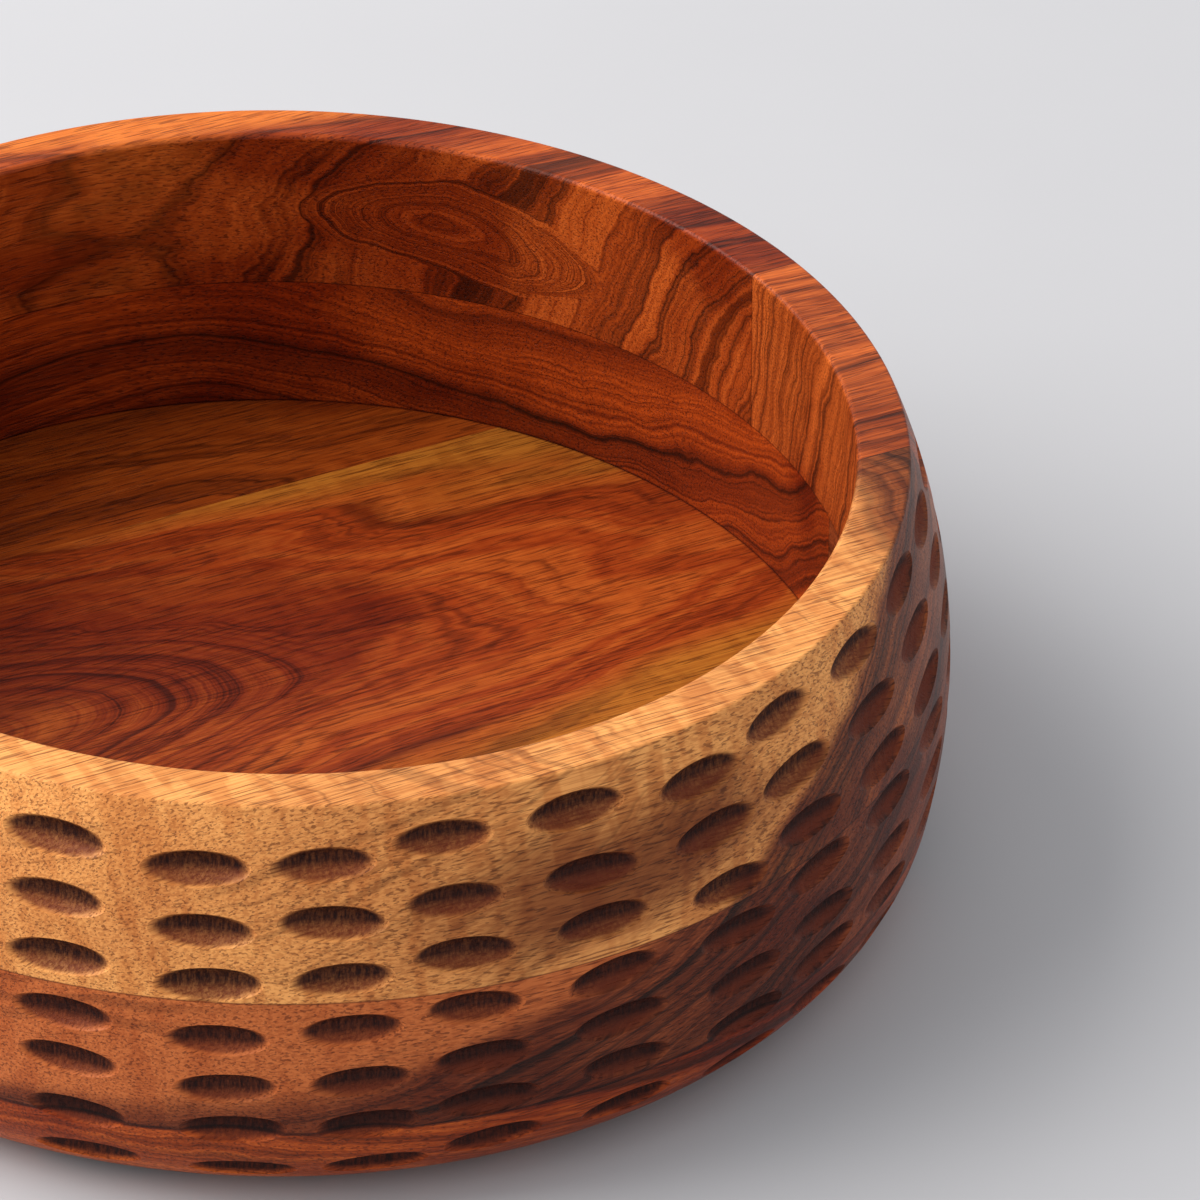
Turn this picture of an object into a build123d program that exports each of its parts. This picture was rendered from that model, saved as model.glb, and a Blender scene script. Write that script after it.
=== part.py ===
from build123d import *

import os
import random
from math import asin, atan2, cos, degrees, radians, sin, sqrt

# A turned acacia bowl, glued up from boards. A base of three boards carries a lower
# ring of six and an upper ring of four, and the boards of all three layers run along X.
# After turning, rows of short gouge marks were cut into the outside of the wall.
#
# Millimetres. The origin is the centre of the foot. +Z is up.

# Overall size: a 305 mm (12 inch) bowl, 102 mm (4 inch) high.
BOWL_HEIGHT = 102.0
BELLY_RADIUS = 152.5
BELLY_HEIGHT = 43.0
RIM_RADIUS = 140.0
FOOT_ROUND = 24.0
RIM_EDGE_ROUND = 0.8

# The hollow widens a little from the mouth down to the floor.
MOUTH_RADIUS = 128.0
SEAM_RADIUS = 130.0
FLOOR_RADIUS = 131.0
MOUTH_EDGE_ROUND = 1.2

# Flat glue planes between the three layers. The floor is the top of the base.
BASE_TOP = 24.5
RING_SEAM = 59.5

# Glue joints between neighbouring boards, each an upright plane at a constant y.
UPPER_FRONT_JOINT = -66.0
UPPER_BACK_JOINT = 12.0
LOWER_FRONT_JOINT = -90.0
LOWER_MIDDLE_JOINT = -30.0
LOWER_BACK_JOINT = 100.0
BASE_FRONT_JOINT = -38.0
BASE_BACK_JOINT = 83.5

# Gouge marks, in upright columns that lean a little. Each is one dip of a spindle.
GOUGE_COLUMNS = 32
GOUGE_ROWS = 7
FIRST_COLUMN_ANGLE = -136.5
FIRST_ROW_DROP = 10.5
ROW_STEP = 12.9
COLUMN_LEAN = 0.05
GOUGE_DEPTH = 2.6
CUTTER_LENGTH = 26.5
CUTTER_WIDTH = 9.0

# How far the hand strayed from that pattern. No two marks touch.
HAND_SEED = 1057
COLUMN_STRAY = 1.5
DROP_STRAY = 3.0
LEAN_STRAY = 0.015
ROW_STRAY = 1.0
TILT_STRAY = 5.0
DEPTH_STRAY = 0.25

# The wall is one arc through the rim corner, upright at the belly.
RIM_RISE = BOWL_HEIGHT - BELLY_HEIGHT
RIM_INSET = BELLY_RADIUS - RIM_RADIUS
WALL_ARC = (RIM_RISE**2 + RIM_INSET**2) / (2 * RIM_INSET)
WALL_ARC_X = BELLY_RADIUS - WALL_ARC
RIM_ANGLE = degrees(asin(RIM_RISE / WALL_ARC))

# The foot rounding is tangent to the wall arc and to the table.
ROUND_DROP = BELLY_HEIGHT - FOOT_ROUND
ROUND_X = WALL_ARC_X + sqrt((WALL_ARC - FOOT_ROUND) ** 2 - ROUND_DROP**2)
TOUCH_ANGLE = degrees(atan2(-ROUND_DROP, ROUND_X - WALL_ARC_X))
TOUCH_HEIGHT = BELLY_HEIGHT + WALL_ARC * sin(radians(TOUCH_ANGLE))

UPPER_RING = (RING_SEAM, BOWL_HEIGHT)
LOWER_RING = (BASE_TOP, RING_SEAM)
BASE = (0.0, BASE_TOP)
EDGE = 2 * BELLY_RADIUS
LEFT = -1
RIGHT = 1
WHOLE = 0

# Every board: its layer, the two joints it lies between, and the end that is kept
# where the hollow cuts a board in two.
BOARDS = {
    "upper_ring_back": (UPPER_RING, UPPER_BACK_JOINT, EDGE, WHOLE),
    "upper_ring_left": (UPPER_RING, UPPER_FRONT_JOINT, UPPER_BACK_JOINT, LEFT),
    "upper_ring_right": (UPPER_RING, UPPER_FRONT_JOINT, UPPER_BACK_JOINT, RIGHT),
    "upper_ring_front": (UPPER_RING, -EDGE, UPPER_FRONT_JOINT, WHOLE),
    "lower_ring_back": (LOWER_RING, LOWER_BACK_JOINT, EDGE, WHOLE),
    "lower_ring_left_back": (LOWER_RING, LOWER_MIDDLE_JOINT, LOWER_BACK_JOINT, LEFT),
    "lower_ring_right_back": (LOWER_RING, LOWER_MIDDLE_JOINT, LOWER_BACK_JOINT, RIGHT),
    "lower_ring_left_front": (LOWER_RING, LOWER_FRONT_JOINT, LOWER_MIDDLE_JOINT, LEFT),
    "lower_ring_right_front": (LOWER_RING, LOWER_FRONT_JOINT, LOWER_MIDDLE_JOINT, RIGHT),
    "lower_ring_front": (LOWER_RING, -EDGE, LOWER_FRONT_JOINT, WHOLE),
    "base_back": (BASE, BASE_BACK_JOINT, EDGE, WHOLE),
    "base_middle": (BASE, BASE_FRONT_JOINT, BASE_BACK_JOINT, WHOLE),
    "base_front": (BASE, -EDGE, BASE_FRONT_JOINT, WHOLE),
}


def outside_at(height):
    """Radius of the outside at a height, and how far its normal tips up from level."""
    if height >= TOUCH_HEIGHT:
        slope = asin((height - BELLY_HEIGHT) / WALL_ARC)
        return WALL_ARC_X + WALL_ARC * cos(slope), slope
    slope = asin((height - FOOT_ROUND) / FOOT_ROUND)
    return ROUND_X + FOOT_ROUND * cos(slope), slope


def make_blank():
    """The whole turned bowl as one body of revolution, before it is cut into boards."""
    with BuildPart() as blank:
        with BuildSketch(Plane.XZ):
            with BuildLine():
                Line((0, 0), (ROUND_X, 0))
                CenterArc((ROUND_X, FOOT_ROUND), FOOT_ROUND, -90, 90 + TOUCH_ANGLE)
                CenterArc(
                    (WALL_ARC_X, BELLY_HEIGHT), WALL_ARC, TOUCH_ANGLE, RIM_ANGLE - TOUCH_ANGLE
                )
                Line((RIM_RADIUS, BOWL_HEIGHT), (MOUTH_RADIUS, BOWL_HEIGHT))
                ThreePointArc(
                    (MOUTH_RADIUS, BOWL_HEIGHT), (SEAM_RADIUS, RING_SEAM), (FLOOR_RADIUS, BASE_TOP)
                )
                Line((FLOOR_RADIUS, BASE_TOP), (0, BASE_TOP))
                Line((0, BASE_TOP), (0, 0))
            make_face()
        revolve(axis=Axis.Z)
        top_circles = blank.edges().filter_by(GeomType.CIRCLE).group_by(Axis.Z)[-1]
        fillet(top_circles.sort_by(SortBy.RADIUS)[-1], RIM_EDGE_ROUND)
        top_circles = blank.edges().filter_by(GeomType.CIRCLE).group_by(Axis.Z)[-1]
        fillet(top_circles.sort_by(SortBy.RADIUS)[0], MOUTH_EDGE_ROUND)
    return blank.part


def make_cutter():
    """The shape that one dip of the gouge takes out: half an ellipse turned about X."""
    with BuildPart() as cutter:
        with BuildSketch(Plane.XZ):
            with BuildLine():
                EllipticalCenterArc((0, 0), CUTTER_LENGTH / 2, CUTTER_WIDTH / 2, arc_size=180)
                Line((-CUTTER_LENGTH / 2, 0), (CUTTER_LENGTH / 2, 0))
            make_face()
        revolve(axis=Axis.X)
    return cutter.part


def dip_place(turn_angle, drop, tilt, depth):
    """Where the cutter stands for one mark, its long axis level along the wall."""
    radius, slope = outside_at(BOWL_HEIGHT - drop)
    turn = radians(turn_angle)
    surface = Vector(radius * cos(turn), radius * sin(turn), BOWL_HEIGHT - drop)
    outward = Vector(cos(turn) * cos(slope), sin(turn) * cos(slope), sin(slope))
    level = Vector(-sin(turn), cos(turn), 0)
    centre = surface + outward * (CUTTER_WIDTH / 2 - depth)
    along = level.rotate(Axis((0, 0, 0), outward), tilt)
    return Plane(origin=centre, x_dir=along, z_dir=outward).location


def gouge_places():
    """Placements of all the marks, column by column from the rim down."""
    hand = random.Random(HAND_SEED)
    places = []
    for column in range(GOUGE_COLUMNS):
        angle = FIRST_COLUMN_ANGLE + column * 360 / GOUGE_COLUMNS
        angle += hand.uniform(-COLUMN_STRAY, COLUMN_STRAY)
        drop = FIRST_ROW_DROP + hand.uniform(-DROP_STRAY, DROP_STRAY)
        lean = COLUMN_LEAN + hand.uniform(-LEAN_STRAY, LEAN_STRAY)
        for row in range(GOUGE_ROWS):
            row_drop = drop + row * ROW_STEP + hand.uniform(-ROW_STRAY, ROW_STRAY)
            tilt = hand.uniform(-TILT_STRAY, TILT_STRAY)
            depth = GOUGE_DEPTH + hand.uniform(-DEPTH_STRAY, DEPTH_STRAY)
            places.append(dip_place(angle + lean * row_drop, row_drop, tilt, depth))
    return places


def may_reach(place, layer, low, high, side):
    """Whether a cutter standing at this place could touch that board."""
    at = place.position
    reach = CUTTER_LENGTH / 2
    bottom, top = layer
    in_layer = bottom - reach < at.Z < top + reach
    between_joints = low - reach < at.Y < high + reach
    on_kept_end = at.X * side > -reach
    return in_layer and between_joints and on_kept_end


def make_board(name, blank, cutter, places):
    """One glued board: its share of the blank, less the marks that fall on it."""
    layer, low, high, side = BOARDS[name]
    bottom, top = layer
    length = EDGE if side else 2 * EDGE
    marks = [place for place in places if may_reach(place, layer, low, high, side)]
    with BuildPart() as board:
        add(blank)
        with Locations((side * EDGE / 2, (low + high) / 2, (bottom + top) / 2)):
            Box(length, high - low, top - bottom, mode=Mode.INTERSECT)
        for mark in marks:
            with Locations(mark):
                add(cutter, mode=Mode.SUBTRACT)
    board.part.label = name
    export_step(board.part, f"parts/{name}.step")


os.makedirs("parts", exist_ok=True)
bowl_blank = make_blank()
gouge_cutter = make_cutter()
all_places = gouge_places()
for board_name in BOARDS:
    make_board(board_name, bowl_blank, gouge_cutter, all_places)
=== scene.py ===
import math
from collections import namedtuple

import bpy
from mathutils import Matrix, Vector


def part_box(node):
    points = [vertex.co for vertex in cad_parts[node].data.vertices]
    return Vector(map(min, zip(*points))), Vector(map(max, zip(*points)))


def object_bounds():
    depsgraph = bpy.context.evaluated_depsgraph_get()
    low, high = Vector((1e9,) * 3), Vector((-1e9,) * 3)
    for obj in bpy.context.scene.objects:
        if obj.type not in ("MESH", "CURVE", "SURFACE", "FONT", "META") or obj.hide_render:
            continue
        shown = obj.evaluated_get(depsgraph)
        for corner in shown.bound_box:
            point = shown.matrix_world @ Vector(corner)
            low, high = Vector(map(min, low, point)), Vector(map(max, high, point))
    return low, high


# A gouged wooden bowl, glued up from boards. Every board gets its own solid wood: rings
# round the pith of the log it came from, so the grain agrees on all of its faces.
# Lengths inside the wood materials are millimetres, everything else is metres.

MM_PER_METRE = 1000

# The outside before gouging: one wall arc from belly to rim, then the rounding at the foot.
BOWL_HEIGHT = 102.0
BELLY_RADIUS = 152.5
BELLY_HEIGHT = 43.0
RIM_RADIUS = 140.0
FOOT_ROUND = 24.0
FLOOR_HEIGHT = 24.5
FLOOR_RADIUS = 131.0

RIM_RISE = BOWL_HEIGHT - BELLY_HEIGHT
RIM_INSET = BELLY_RADIUS - RIM_RADIUS
WALL_ARC = (RIM_RISE ** 2 + RIM_INSET ** 2) / (2 * RIM_INSET)
WALL_ARC_X = BELLY_RADIUS - WALL_ARC
FOOT_DROP = BELLY_HEIGHT - FOOT_ROUND
FOOT_ROUND_X = WALL_ARC_X + math.sqrt((WALL_ARC - FOOT_ROUND) ** 2 - FOOT_DROP ** 2)
FOOT_ROUND_TOP = BELLY_HEIGHT - FOOT_DROP * WALL_ARC / (WALL_ARC - FOOT_ROUND)

# Where gouge marks are looked for: not past this depth, and not on the rim.
DEEPEST_MARK = 5.0
MARKS_TOP = BOWL_HEIGHT - 1.0

# Camera, aimed past the rim's centre, which sits left of and above the picture's middle.
CAMERA_AZIMUTH = -30.0
CAMERA_ELEVATION = 34.8
CAMERA_ROLL = 2.5
CAMERA_LENS = 190.2
CAMERA_SIGHT = 50.0
RIM_CENTRE_AHEAD = 1.4102
RIM_CENTRE_RIGHT = -0.0708
RIM_CENTRE_DOWN = -0.0379

# Lights: azimuth and elevation seen from the camera, distance, size, power and colour.
LIGHTS = {
    "key": (176, 44, 3.0, 2.4, 112, (1.0, 0.98, 0.95)),
    "fill": (-150, 34, 2.6, 1.4, 14, (1.0, 0.98, 0.96)),
}
ROOM_COLOUR = (0.97, 0.98, 1.0, 1.0)
ROOM_LIGHT = 0.70

# The floor's two greys, as 0 to 255 display values, and its mottle and half width.
FLOOR_GREYS = ((186, 186, 189), (190, 190, 193))
FLOOR_MOTTLE = (9, 9, 9)
FLOOR_ROUGHNESS = 0.85
FLOOR_HALF_WIDTH = 6.0

# Wood colours, as 0 to 255 display values.
Palette = namedtuple("Palette", "light middle dark sapwood")
GOLDEN = Palette((170, 92, 42), (130, 66, 29), (72, 35, 17), (250, 174, 98))
CHESTNUT = Palette((204, 98, 36), (166, 70, 22), (96, 40, 14), (226, 124, 48))
STRIPED = Palette((206, 102, 40), (164, 74, 26), (92, 40, 17), (222, 160, 98))
MAHOGANY = Palette((184, 76, 21), (132, 47, 12), (72, 24, 6), (190, 116, 62))
UMBER = Palette((154, 76, 38), (108, 49, 23), (54, 26, 14), (208, 114, 58))
RUSSET = Palette((250, 128, 48), (216, 92, 30), (140, 54, 17), (255, 168, 60))
OLIVE = Palette((228, 116, 38), (200, 94, 27), (150, 68, 20), (196, 130, 66))

# What wood is darkened by, except for the first two, which colour it.
PATCH_BROWN = (132, 68, 30)
GOUGE_STAIN = (104, 40, 19)
# The next colour is painted shade: it darkens the slopes inside gouge marks that face down.
GOUGE_PAINTED_SHADE = (76, 40, 36)
DARK_LINE = (84, 54, 44)
SWIRL_HEART = (150, 84, 62)
DRIFT_TONE = (176, 124, 96)
FIBRE_TONE = (184, 152, 130)
PORE_TONE = (104, 66, 50)
RIPPLE_TONE = (214, 184, 160)
GLUE_TONE = (110, 78, 64)

# The pith of a board's log (y, z), how much the log tapers along x, ring spacing, log
# radius where sapwood starts, strength of cross-grain ripples, and seed.
Wood = namedtuple("Wood", "palette pith_y pith_z taper spacing sapwood_from ripple seed")
NO_SAPWOOD = 1000.0
LOWER_BACK_WOOD = Wood(MAHOGANY, 60, 150, 0.12, 9, NO_SAPWOOD, 0.3, 23)
BOARD_WOOD = {
    "upper_ring_back": Wood(CHESTNUT, -60, 40, 0.125, 8, 201, 0.4, 11),
    "upper_ring_left": Wood(CHESTNUT, -190, 20, 0.04, 8, NO_SAPWOOD, 0.4, 12),
    "upper_ring_right": Wood(STRIPED, -230, 30, 0.03, 5, NO_SAPWOOD, 0.4, 13),
    "upper_ring_front": Wood(GOLDEN, -60, -170, -0.42, 9, 236, 1.0, 14),
    "lower_ring_back": LOWER_BACK_WOOD,
    "lower_ring_left_back": LOWER_BACK_WOOD,
    "lower_ring_right_back": LOWER_BACK_WOOD,
    "lower_ring_left_front": Wood(UMBER, -40, -120, 0.10, 9, NO_SAPWOOD, 0.5, 24),
    "lower_ring_right_front": Wood(UMBER, -70, -130, -0.35, 9, 206, 0.5, 26),
    "lower_ring_front": Wood(UMBER, -70, -130, -0.35, 9, 206, 0.8, 26),
    "base_back": Wood(OLIVE, 60, -90, 0.05, 7, NO_SAPWOOD, 0.3, 36),
    "base_middle": Wood(RUSSET, 26, -62, 0.08, 8, 106.0, 0.5, 32),
    "base_front": Wood(CHESTNUT, -110, -70, 0.12, 8, NO_SAPWOOD, 0.4, 33),
}
STREAKED_FLOOR = "base_middle"

# Swirls in the grain: centre, how close together their rings are along each axis, reach.
SWIRLS = {
    "upper_ring_back": ((92, 89, 80), (0.45, 0.45, 1.25), 18),
    "upper_ring_front": ((-109, -105, 70), (0.6, 0.6, 1.0), 15),
    "base_middle": ((-78, 24, FLOOR_HEIGHT), (0.3, 0.9, 1.0), 30),
}

# Brown patches in pale boards: centre, and reach along each axis.
HEARTWOOD_PATCHES = {
    "upper_ring_front": ((6, -152, 86), (72, 30, 20)),
}

# How far the rings stray from round, in long sweeps and in small shakes.
SWEEP = 30.0
SHAKE = 5.0

# How often each feature of the wood repeats per millimetre, along x, y and z.
SWEEP_RATE = (0.005, 0.014, 0.014)
SHAKE_RATE = (0.02, 0.09, 0.09)
LINED_RATE = (0.008, 0.02, 0.02)
DRIFT_RATE = (0.009, 0.02, 0.02)
FIBRE_RATE = (0.04, 1.8, 1.8)
PORE_RATE = (0.10, 2.1, 2.1)
RIPPLE_RATE = (0.19, 0.05, 0.05)
TORN_RATE = (1.5, 1.5, 0.3)

# Bands of rings: how often they repeat per ring spacing, seed, noise detail and weight.
RING_BANDS = (
    (2.4, 3.1, 3.0, 0.36),
    (0.5, 7.3, 2.0, 0.44),
    (9.0, 1.9, 2.0, 0.20),
)
DARK_LINE_RATE = 1.1
DARK_LINE_SEED = 5.7

# Where on the ramp from dark to light rings each colour of a palette sits.
DARK_AT = 0.38
MIDDLE_AT = 0.485
LIGHT_AT = 0.61


def linear(colour):
    """A 0 to 255 display colour as linear RGBA."""
    def channel(value):
        value /= 255
        return value / 12.92 if value <= 0.04045 else ((value + 0.055) / 1.055) ** 2.4
    return (*[channel(value) for value in colour], 1.0)


class Shader:
    """A material's node tree, with short calls for the nodes that wood needs."""

    def __init__(self, name):
        self.material = bpy.data.materials.new(name)
        self.material.use_nodes = True
        self.tree = self.material.node_tree
        self.surface = self.tree.nodes["Principled BSDF"]

    def node(self, kind, inputs, **settings):
        node = self.tree.nodes.new("ShaderNode" + kind)
        for key, value in settings.items():
            setattr(node, key, value)
        for key, value in inputs.items():
            self.feed(node.inputs[key], value)
        return node

    def feed(self, socket, value):
        if isinstance(value, bpy.types.NodeSocket):
            self.tree.links.new(value, socket)
        else:
            socket.default_value = value

    def finish(self, **inputs):
        """Feeds the surface: underscores in the names stand for spaces."""
        for key, value in inputs.items():
            self.feed(self.surface.inputs[key.replace("_", " ")], value)

    def math(self, operation, a, b=0.0, c=0.0):
        return self.node("Math", {0: a, 1: b, 2: c}, operation=operation).outputs[0]

    def times(self, a, b):
        return self.math("MULTIPLY", a, b)

    def minus(self, a, b):
        return self.math("SUBTRACT", a, b)

    def times_plus(self, a, b, c):
        return self.math("MULTIPLY_ADD", a, b, c)

    def length(self, a, b):
        """The length of the long side of a right-angled triangle."""
        return self.math("SQRT", self.times_plus(b, b, self.times(a, a)))

    def gap(self, a, b):
        """How far apart two values are."""
        return self.math("ABSOLUTE", self.minus(a, b))

    def step(self, value, start, end, low=0.0, high=1.0):
        """Goes smoothly from low to high while value goes from start to end."""
        inputs = {0: value, 1: start, 2: end, 3: low, 4: high}
        return self.node("MapRange", inputs, interpolation_type="SMOOTHSTEP").outputs[0]

    def vector(self, operation, a, b, c=(0, 0, 0)):
        return self.node("VectorMath", {0: a, 1: b, 2: c}, operation=operation).outputs[0]

    def stretch(self, vector, scale, offset=0.0):
        """The vector scaled axis by axis, then moved off by a seed."""
        return self.vector("MULTIPLY_ADD", vector, scale, (offset, offset, offset))

    def distance(self, place, centre, closeness):
        """The distance to a centre, with each axis scaled."""
        offset = self.stretch(self.vector("SUBTRACT", place, centre), closeness)
        return self.node("VectorMath", {0: offset}, operation="LENGTH").outputs["Value"]

    def split(self, vector):
        return self.node("SeparateXYZ", {0: vector}).outputs

    def object_place(self):
        return self.node("TexCoord", {}).outputs["Object"]

    def noise_node(self, place, rate, seed, detail, roughness):
        inputs = {"Vector": self.stretch(place, rate, seed), "Scale": 1.0}
        inputs.update({"Detail": detail, "Roughness": roughness})
        return self.node("TexNoise", inputs)

    def noise(self, place, rate, seed, detail=3.0, roughness=0.55):
        return self.noise_node(place, rate, seed, detail, roughness).outputs[0]

    def vector_noise(self, place, rate, seed, detail):
        return self.noise_node(place, rate, seed, detail, 0.55).outputs[1]

    def noise_along(self, value, detail):
        inputs = {"W": value, "Scale": 1.0, "Detail": detail, "Roughness": 0.6}
        return self.node("TexNoise", inputs, noise_dimensions="1D").outputs[0]

    def mix(self, factor, a, b, blend="MIX"):
        node = self.node("Mix", {0: factor, 6: a, 7: b}, data_type="RGBA", blend_type=blend)
        return node.outputs[2]

    def tint(self, factor, colour, tint):
        return self.mix(factor, colour, linear(tint))

    def darken(self, factor, colour, tone):
        return self.mix(factor, colour, linear(tone), "MULTIPLY")


def carved_depth(shader, radius, z):
    """How far a point lies below the turned outside."""
    def below_arc(arc, centre_radius, centre_height):
        across = shader.minus(radius, centre_radius)
        up = shader.minus(z, centre_height)
        return shader.minus(arc, shader.length(across, up))

    wall = below_arc(WALL_ARC, WALL_ARC_X, BELLY_HEIGHT)
    foot = below_arc(FOOT_ROUND, FOOT_ROUND_X, FOOT_ROUND)
    on_foot = shader.math("LESS_THAN", z, FOOT_ROUND_TOP)
    return shader.times_plus(on_foot, shader.minus(foot, wall), wall)


def sway_rings(shader, wood, place):
    """Moves points about, so that rings wander along the log."""
    sweep = shader.vector_noise(place, SWEEP_RATE, wood.seed, 2.0)
    shake = shader.vector_noise(place, SHAKE_RATE, wood.seed + 60, 3.0)
    sway = shader.stretch(sweep, (SWEEP,) * 3, -SWEEP / 2)
    sway = shader.vector("MULTIPLY_ADD", shake, (SHAKE,) * 3, sway)
    return shader.vector("ADD", place, sway)


def rings_round_pith(shader, wood, grown_at, x):
    """The log radius that each point grew at."""
    moved = shader.split(grown_at)
    from_pith_y = shader.minus(moved[1], wood.pith_y)
    from_pith_z = shader.minus(moved[2], wood.pith_z)
    return shader.times_plus(x, wood.taper, shader.length(from_pith_z, from_pith_y))


def swirl_rings(shader, node, rings, grown_at):
    """Bends the rings round a swirl, and says how near its centre a point is."""
    if node not in SWIRLS:
        return rings, 0.0
    centre, closeness, reach = SWIRLS[node]
    distance = shader.distance(grown_at, centre, closeness)
    near = shader.step(distance, reach * 0.35, reach, 1.0, 0.0)
    round_centre = shader.minus(shader.times(distance, 1.5), rings)
    heart = shader.step(distance, 0.5, 4.0, 1.0, 0.0)
    return shader.times_plus(near, round_centre, rings), heart


def sapwood_share(shader, node, wood, rings, radius):
    """1 in sapwood, 0 in heartwood. The floor's pale streaks fade out under the wall."""
    share = shader.step(rings, wood.sapwood_from - 4, wood.sapwood_from + 3)
    if node == STREAKED_FLOOR:
        under_wall = shader.step(radius, FLOOR_RADIUS + 1, FLOOR_RADIUS + 9, 1.0, 0.12)
        share = shader.times(share, under_wall)
    return share


def ring_tone(shader, wood, grown):
    """Broad bands, finer ones and hair-thin ones, from dark at 0 to light at 1."""
    tone = 0.0
    for rate, seed, detail, weight in RING_BANDS:
        along = shader.times_plus(grown, rate / wood.spacing, wood.seed * seed)
        tone = shader.times_plus(shader.noise_along(along, detail), weight, tone)
    return tone


def colour_rings(shader, palette, tone):
    """Turns the rings' tone into the colours of a palette."""
    ramp = shader.node("ValToRGB", {0: tone})
    stops = ramp.color_ramp.elements
    stops[0].position = DARK_AT
    stops[0].color = linear(palette.dark)
    stops[1].position = LIGHT_AT
    stops[1].color = linear(palette.light)
    stops.new(MIDDLE_AT).color = linear(palette.middle)
    return ramp.outputs[0]


def add_heartwood_patch(shader, node, colour, grown_at, tone):
    """A brown patch with edges that follow the rings."""
    if node not in HEARTWOOD_PATCHES:
        return colour
    centre, reach = HEARTWOOD_PATCHES[node]
    distance = shader.distance(grown_at, centre, [1 / length for length in reach])
    brown = shader.step(shader.times_plus(tone, 0.9, distance), 0.95, 1.5, 0.9, 0.0)
    return shader.tint(brown, colour, PATCH_BROWN)


def add_dark_lines(shader, wood, colour, place, grown, in_sapwood):
    """Thin dark lines along some rings, in places, and fainter in sapwood."""
    along = shader.times_plus(grown, DARK_LINE_RATE / wood.spacing, wood.seed * DARK_LINE_SEED)
    from_line = shader.gap(shader.noise_along(along, 2.0), 0.5)
    lined = shader.step(shader.noise(place, LINED_RATE, wood.seed + 40), 0.46, 0.6)
    line = shader.times(shader.step(from_line, 0.0, 0.035, 1.0, 0.0), lined)
    line = shader.times(line, shader.times_plus(in_sapwood, -0.45, 1.0))
    return shader.darken(shader.times(line, 0.60), colour, DARK_LINE)


def add_drift(shader, wood, colour, place, in_sapwood):
    """Slow drifts of darker tone, weaker in sapwood."""
    drift = shader.noise(place, DRIFT_RATE, wood.seed + 80)
    strength = shader.step(drift, 0.46, 0.62, 0.0, 0.75)
    strength = shader.times(strength, shader.times_plus(in_sapwood, -0.6, 1.0))
    return shader.darken(strength, colour, DRIFT_TONE)


def add_fibres(shader, wood, colour, place):
    """Fibres and open pores along the grain. Both are needed again for the relief."""
    fibre = shader.noise(place, FIBRE_RATE, wood.seed, 4.0, 0.6)
    colour = shader.darken(shader.step(fibre, 0.42, 0.60, 0.0, 0.50), colour, FIBRE_TONE)
    pore = shader.step(shader.noise(place, PORE_RATE, wood.seed + 5, 1.0), 0.57, 0.64)
    colour = shader.darken(shader.times(pore, 0.55), colour, PORE_TONE)
    return colour, fibre, pore


def add_ripples(shader, wood, colour, place):
    """Ripples of light across the grain."""
    curl = shader.noise(place, RIPPLE_RATE, wood.seed + 9, 2.0)
    strength = shader.step(curl, 0.45, 0.62, 0.0, 0.55 * wood.ripple)
    return shader.darken(strength, colour, RIPPLE_TONE)


def stain_and_paint_shade_in_gouges(shader, wood, colour, place, depth, z):
    """Marks are redder inside from stain, and painted shade makes them nearly black where they face down.
    Fibres are torn.
    """
    shallow = shader.math("LESS_THAN", depth, DEEPEST_MARK)
    outside = shader.times(shallow, shader.math("LESS_THAN", z, MARKS_TOP))
    carved = shader.times(shader.step(depth, 0.1, 1.3), outside)
    normal = shader.node("NewGeometry", {}).outputs["Normal"]
    # Painted shade: slopes inside the marks that face down are darkened, as if shaded from light above.
    # The stain mask below also carries this painted shade.
    painted_shade_facing_down = shader.step(shader.split(normal)[2], 0.12, 0.74, 1.0, 0.0)
    torn = shader.noise(place, TORN_RATE, wood.seed + 3, 3.0, 0.7)
    stain_and_painted_shade = shader.times(carved, shader.step(torn, 0.3, 0.7, 1.0, 0.7))
    colour = shader.tint(shader.times(stain_and_painted_shade, 0.92), colour, GOUGE_STAIN)
    colour = shader.darken(shader.times(stain_and_painted_shade, painted_shade_facing_down), colour, GOUGE_PAINTED_SHADE)
    return colour, carved, torn


def glue_planes(node):
    """The y and z planes where this board meets one of other wood."""
    low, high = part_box(node)
    others = [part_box(name) for name in BOARD_WOOD if BOARD_WOOD[name] != BOARD_WOOD[node]]
    planes = []
    for axis in (1, 2):
        for mine, side in ((low[axis], 1), (high[axis], 0)):
            if any(abs(mine - other[side][axis]) < 1e-4 for other in others):
                planes.append((axis, mine * MM_PER_METRE))
    return planes


def draw_glue_lines(shader, node, colour, coordinates, radius):
    """Thin dark lines at the joints, and round the edge of the floor."""
    at_floor_edge = shader.step(radius, FLOOR_RADIUS - 0.9, FLOOR_RADIUS - 0.2)
    above_floor = shader.gap(coordinates[2], FLOOR_HEIGHT)
    glue = shader.times(at_floor_edge, shader.step(above_floor, 0.2, 0.7, 1.0, 0.0))
    for axis, plane in glue_planes(node):
        away = shader.gap(coordinates[axis], plane)
        glue = shader.math("MAXIMUM", glue, shader.step(away, 0.05, 0.3, 0.8, 0.0))
    return shader.darken(shader.times(glue, 0.8), colour, GLUE_TONE)


def satin_finish(shader, colour, fibre, pore, carved, torn):
    """A satin oil finish, rougher where the gouge tore the fibres."""
    roughness = shader.times_plus(fibre, 0.16, 0.32)
    roughness = shader.times_plus(carved, 0.10, roughness)
    relief = shader.times_plus(pore, -0.6, shader.times(fibre, 0.5))
    relief = shader.times_plus(shader.times(torn, carved), 1.6, relief)
    bump = shader.node("Bump", {"Height": relief, "Strength": 0.6, "Distance": 0.0002})
    shader.finish(Base_Color=colour, Roughness=roughness, Normal=bump.outputs[0])
    shader.finish(Specular_IOR_Level=0.16)


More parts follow.
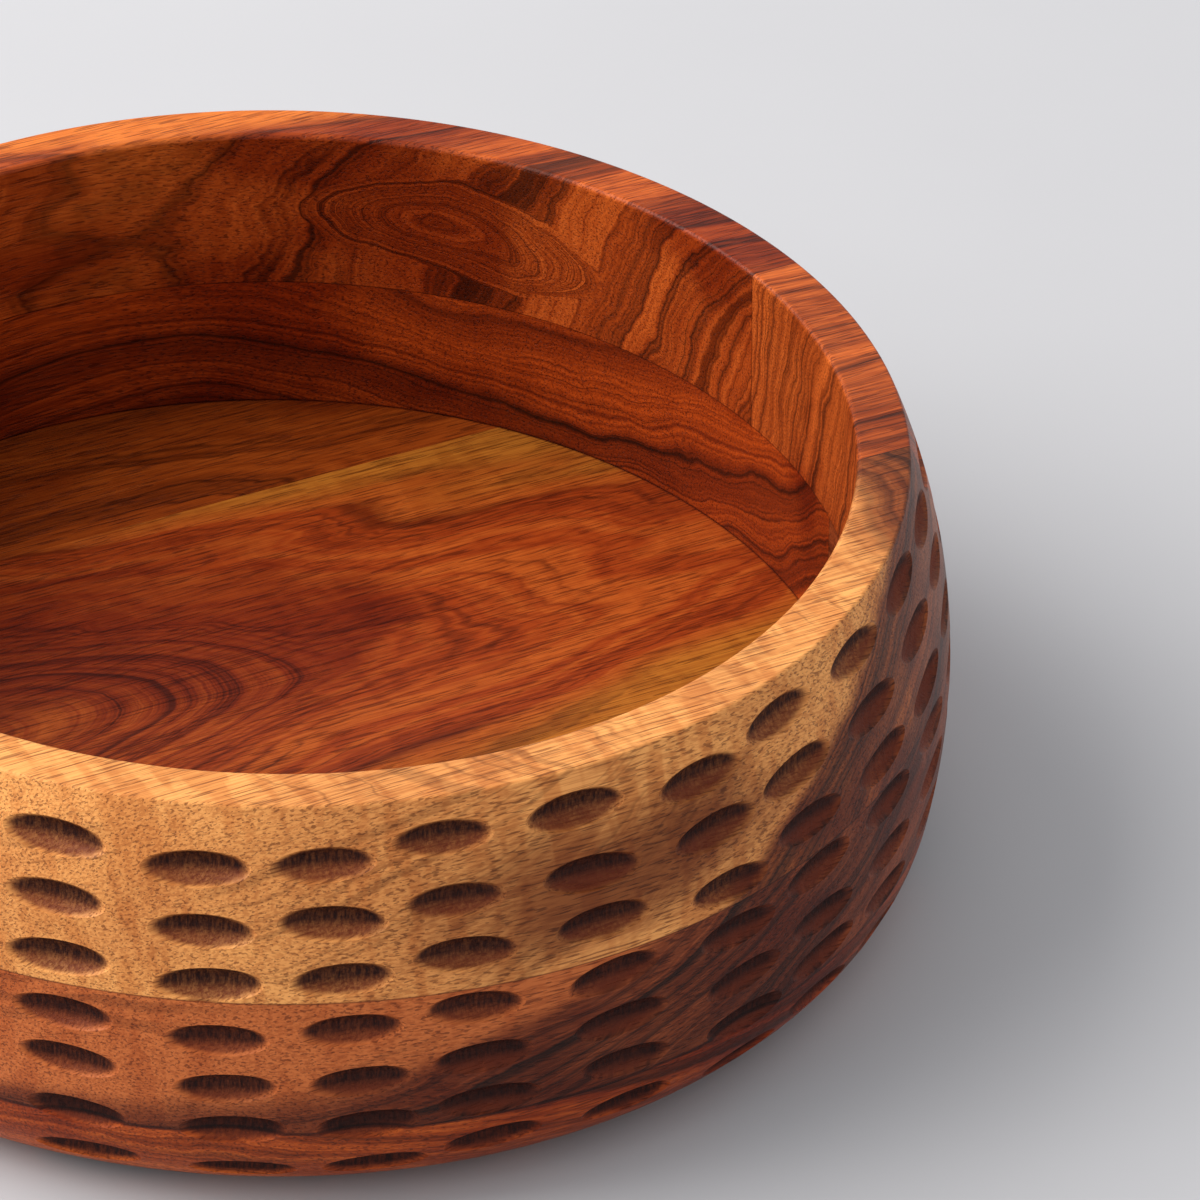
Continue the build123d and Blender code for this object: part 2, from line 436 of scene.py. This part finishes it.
def make_wood(node):
    """The solid wood of one board, with its gouge marks and glue lines."""
    wood = BOARD_WOOD[node]
    shader = Shader(node + "_wood")
    place = shader.stretch(shader.object_place(), (MM_PER_METRE,) * 3)
    coordinates = shader.split(place)
    x, y, z = coordinates[0], coordinates[1], coordinates[2]
    radius = shader.length(x, y)

    grown_at = sway_rings(shader, wood, place)
    rings = rings_round_pith(shader, wood, grown_at, x)
    grown, swirl_heart = swirl_rings(shader, node, rings, grown_at)
    in_sapwood = sapwood_share(shader, node, wood, rings, radius)

    tone = ring_tone(shader, wood, grown)
    colour = colour_rings(shader, wood.palette, tone)
    colour = shader.tint(shader.times(in_sapwood, 0.88), colour, wood.palette.sapwood)
    colour = add_heartwood_patch(shader, node, colour, grown_at, tone)
    colour = add_dark_lines(shader, wood, colour, place, grown, in_sapwood)
    colour = shader.darken(swirl_heart, colour, SWIRL_HEART)
    colour = add_drift(shader, wood, colour, place, in_sapwood)
    colour, fibre, pore = add_fibres(shader, wood, colour, place)
    colour = add_ripples(shader, wood, colour, place)
    depth = carved_depth(shader, radius, z)
    colour, carved, torn = stain_and_paint_shade_in_gouges(shader, wood, colour, place, depth, z)
    colour = draw_glue_lines(shader, node, colour, coordinates, radius)
    satin_finish(shader, colour, fibre, pore, carved, torn)
    return shader.material


def paint_boards(nodes):
    """Gives every board its own wood."""
    for name in BOARD_WOOD:
        board = nodes[name]
        board.data.materials.clear()
        board.data.materials.append(make_wood(name))


def make_floor_paper():
    """A pale grey with a very faint mottle."""
    shader = Shader("floor_paper")
    mottle = shader.noise(shader.object_place(), FLOOR_MOTTLE, 0.0, 4.0)
    grey = shader.mix(mottle, linear(FLOOR_GREYS[0]), linear(FLOOR_GREYS[1]))
    shader.finish(Base_Color=grey, Roughness=FLOOR_ROUGHNESS)
    return shader.material


def make_floor(height):
    """A wide, plain floor."""
    half = FLOOR_HALF_WIDTH
    corners = [(-half, -half, height), (half, -half, height), (half, half, height), (-half, half, height)]
    mesh = bpy.data.meshes.new("floor")
    mesh.from_pydata(corners, [], [(0, 1, 2, 3)])
    floor = bpy.data.objects.new("floor", mesh)
    floor.data.materials.append(make_floor_paper())
    bpy.context.scene.collection.objects.link(floor)


def seen_from_camera(azimuth, elevation, distance):
    """A point by its direction as the camera sees it: azimuth 0 is right, 90 is away."""
    turn = math.radians(azimuth + CAMERA_AZIMUTH)
    rise = math.radians(elevation)
    level = math.cos(rise) * distance
    return Vector((math.cos(turn) * level, math.sin(turn) * level, math.sin(rise) * distance))


def add_softbox(name, azimuth, elevation, distance, size, power, colour):
    """A square soft light that faces the bowl."""
    light = bpy.data.lights.new(name, "AREA")
    light.size = size
    light.energy = power
    light.color = colour
    softbox = bpy.data.objects.new(name, light)
    softbox.location = seen_from_camera(azimuth, elevation, distance)
    softbox.rotation_euler = (-softbox.location).to_track_quat("-Z", "Y").to_euler()
    bpy.context.scene.collection.objects.link(softbox)


def light_studio():
    """A soft key from the left, a weaker fill from the front left, and a pale room."""
    for name, settings in LIGHTS.items():
        add_softbox(name, *settings)
    world = bpy.data.worlds.new("room")
    world.use_nodes = True
    background = world.node_tree.nodes["Background"]
    background.inputs["Color"].default_value = ROOM_COLOUR
    background.inputs["Strength"].default_value = ROOM_LIGHT
    bpy.context.scene.world = world
    bpy.context.scene.view_settings.view_transform = "Standard"


def add_camera(rim_centre):
    """The camera, placed by where the rim's centre lies in its view."""
    rise = math.radians(CAMERA_ELEVATION)
    turn = Matrix.Rotation(math.radians(CAMERA_AZIMUTH), 3, "Z")
    level_right = turn @ Vector((1, 0, 0))
    level_down = turn @ Vector((0, -math.sin(rise), -math.cos(rise)))
    ahead = turn @ Vector((0, math.cos(rise), -math.sin(rise)))
    roll = math.radians(CAMERA_ROLL)
    right = level_right * math.cos(roll) - level_down * math.sin(roll)
    down = level_right * math.sin(roll) + level_down * math.cos(roll)
    camera = bpy.data.objects.new("camera", bpy.data.cameras.new("camera"))
    camera.data.lens = CAMERA_LENS
    camera.data.clip_end = CAMERA_SIGHT
    place = rim_centre - right * RIM_CENTRE_RIGHT - down * RIM_CENTRE_DOWN - ahead * RIM_CENTRE_AHEAD
    axes = Matrix((right, -down, -ahead)).transposed()
    camera.matrix_world = Matrix.Translation(place) @ axes.to_4x4()
    bpy.context.scene.collection.objects.link(camera)
    bpy.context.scene.camera = camera


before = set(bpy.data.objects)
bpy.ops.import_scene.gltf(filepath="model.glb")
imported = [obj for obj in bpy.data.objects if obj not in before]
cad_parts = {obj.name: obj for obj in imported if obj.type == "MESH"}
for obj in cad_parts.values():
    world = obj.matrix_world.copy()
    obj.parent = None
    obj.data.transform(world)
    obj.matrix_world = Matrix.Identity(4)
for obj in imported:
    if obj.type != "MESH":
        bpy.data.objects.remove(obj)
cad_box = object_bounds()
paint_boards(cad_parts)
make_floor(cad_box[0].z)
light_studio()
add_camera(Vector((0, 0, cad_box[1].z)))
